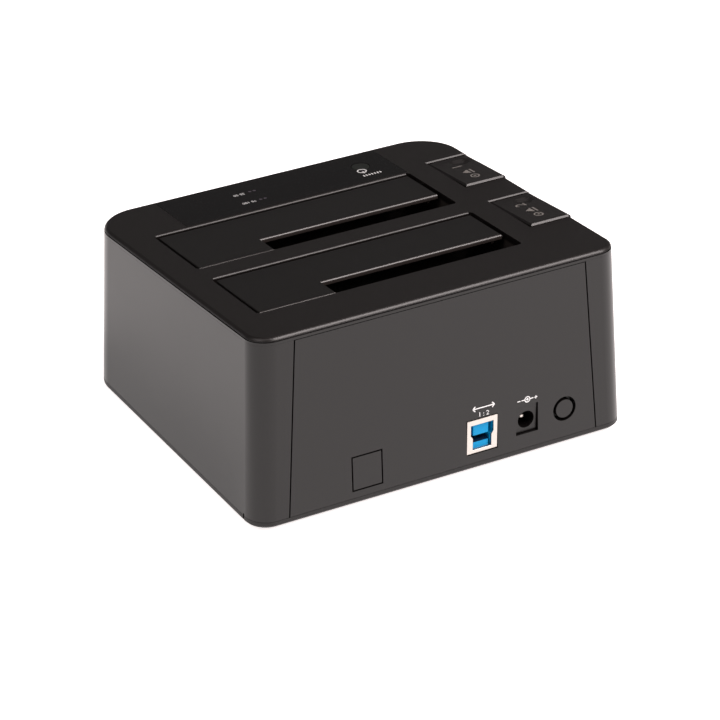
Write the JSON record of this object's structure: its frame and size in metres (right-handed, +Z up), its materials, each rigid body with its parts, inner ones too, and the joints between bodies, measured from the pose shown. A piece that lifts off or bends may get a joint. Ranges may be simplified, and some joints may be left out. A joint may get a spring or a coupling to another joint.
{
  "type": "disk drive docking duplicator",
  "caption": "Desktop docking duplicator with sloping deck, sprung doors over upright drive bays, eject keys and rear connectors.",
  "frame": {"origin": "bottom centre of the bounding box, on the surface the feet stand on", "axes": "+Z up, -Y toward the user and the low edge of the deck, +Y to the rear panel with its connectors, +X to the side without keys"},
  "size_m": [0.1468, 0.1286, 0.0705],
  "materials": {
    "case": "fine matte texture",
    "door": "fine matte texture",
    "panel": "fine matte texture",
    "strip": "polished",
    "inner": "smooth",
    "steel": "zinc plated",
    "plated": "bright",
    "contact": "gold plated",
    "board": "satin lacquer",
    "chip": "matte",
    "can": "satin",
    "insulator": "smooth",
    "switch": "smooth",
    "clear": "clear",
    "rubber": "matte",
    "tape": "satin"
  },
  "bodies": {
    "housing": {"main_shell": "case", "top_cover": "case", "rear_panel": "panel", "base_plate": "case", "indicator_strip": "strip", "power_switch": "switch", "light_board": "board", "indicator_lights": "clear", "light_pipes": "clear", "light_ribbon": "tape", "main_board": "board", "board_chips": "chip", "board_capacitors": "can", "port_blank": "panel", "data_port_shell": "plated", "data_port_insert": "insulator", "data_port_contacts": "contact", "power_jack": "switch", "jack_pin": "plated", "rear_switch": "switch", "case_screws": "steel", "board_screws": "steel", "well_screws": "steel", "light_board_screws": "steel", "rubber_feet": "rubber", "bay_well_front": "inner", "door_pin_front": "steel", "lever_pin_front": "steel", "drive_socket_front": "switch", "socket_contacts_front": "contact", "bay_well_rear": "inner", "door_pin_rear": "steel", "lever_pin_rear": "steel", "drive_socket_rear": "switch", "socket_contacts_rear": "contact"},
    "door_front": {"bay_door_front": "door", "door_spring_front": "steel"},
    "door_rear": {"bay_door_rear": "door", "door_spring_rear": "steel"},
    "key_front": {"eject_key_front": "case", "key_spring_front": "steel"},
    "key_rear": {"eject_key_rear": "case", "key_spring_rear": "steel"},
    "lever_front": {"eject_lever_front": "inner"},
    "lever_rear": {"eject_lever_rear": "inner"},
    "power_button": {"power_button": "strip", "power_plunger": "inner"},
    "rear_button": {"rear_button": "panel", "rear_plunger": "inner"}
  },
  "joints": [
    {"name": "door_hinge_front", "type": "hinge", "parent": "housing", "child": "door_front", "pos_m": [0.0079, -0.0339, 0.06007], "axis": [-1, 0, 0], "range_deg": [0, 92], "stiffness_Nm_per_rad": 0.004, "springref_deg": -34.38},
    {"name": "key_slide_front", "type": "slide", "parent": "housing", "child": "key_front", "axis": [0, 0, -1], "range_m": [0, 0.0045], "stiffness_N_per_m": 300, "springref_m": -0.005, "deforming": ["key_spring_front"]},
    {"name": "lever_pivot_front", "type": "hinge", "parent": "housing", "child": "lever_front", "pos_m": [-0.0493, -0.019, 0.011], "axis": [0, -1, 0], "range_deg": [0, 22]},
    {"name": "door_hinge_rear", "type": "hinge", "parent": "housing", "child": "door_rear", "pos_m": [0.0079, 0.0094, 0.06305], "axis": [-1, 0, 0], "range_deg": [0, 92], "stiffness_Nm_per_rad": 0.004, "springref_deg": -34.38},
    {"name": "key_slide_rear", "type": "slide", "parent": "housing", "child": "key_rear", "axis": [0, 0, -1], "range_m": [0, 0.0045], "stiffness_N_per_m": 300, "springref_m": -0.005, "deforming": ["key_spring_rear"]},
    {"name": "lever_pivot_rear", "type": "hinge", "parent": "housing", "child": "lever_rear", "pos_m": [-0.0493, 0.0243, 0.011], "axis": [0, -1, 0], "range_deg": [0, 22]},
    {"name": "power_button_press", "type": "slide", "parent": "housing", "child": "power_button", "axis": [0, 0.0687, -0.9976], "range_m": [0, 0.0008], "stiffness_N_per_m": 200, "springref_m": -0.001},
    {"name": "rear_button_press", "type": "slide", "parent": "housing", "child": "rear_button", "axis": [0, -1, 0], "range_m": [0, 0.0012], "stiffness_N_per_m": 200, "springref_m": -0.001}
  ],
  "couplings": [
    {"joint": "lever_pivot_front", "follows": "key_slide_front", "rad_per_m": 83.82},
    {"joint": "lever_pivot_rear", "follows": "key_slide_rear", "rad_per_m": 83.82}
  ]
}
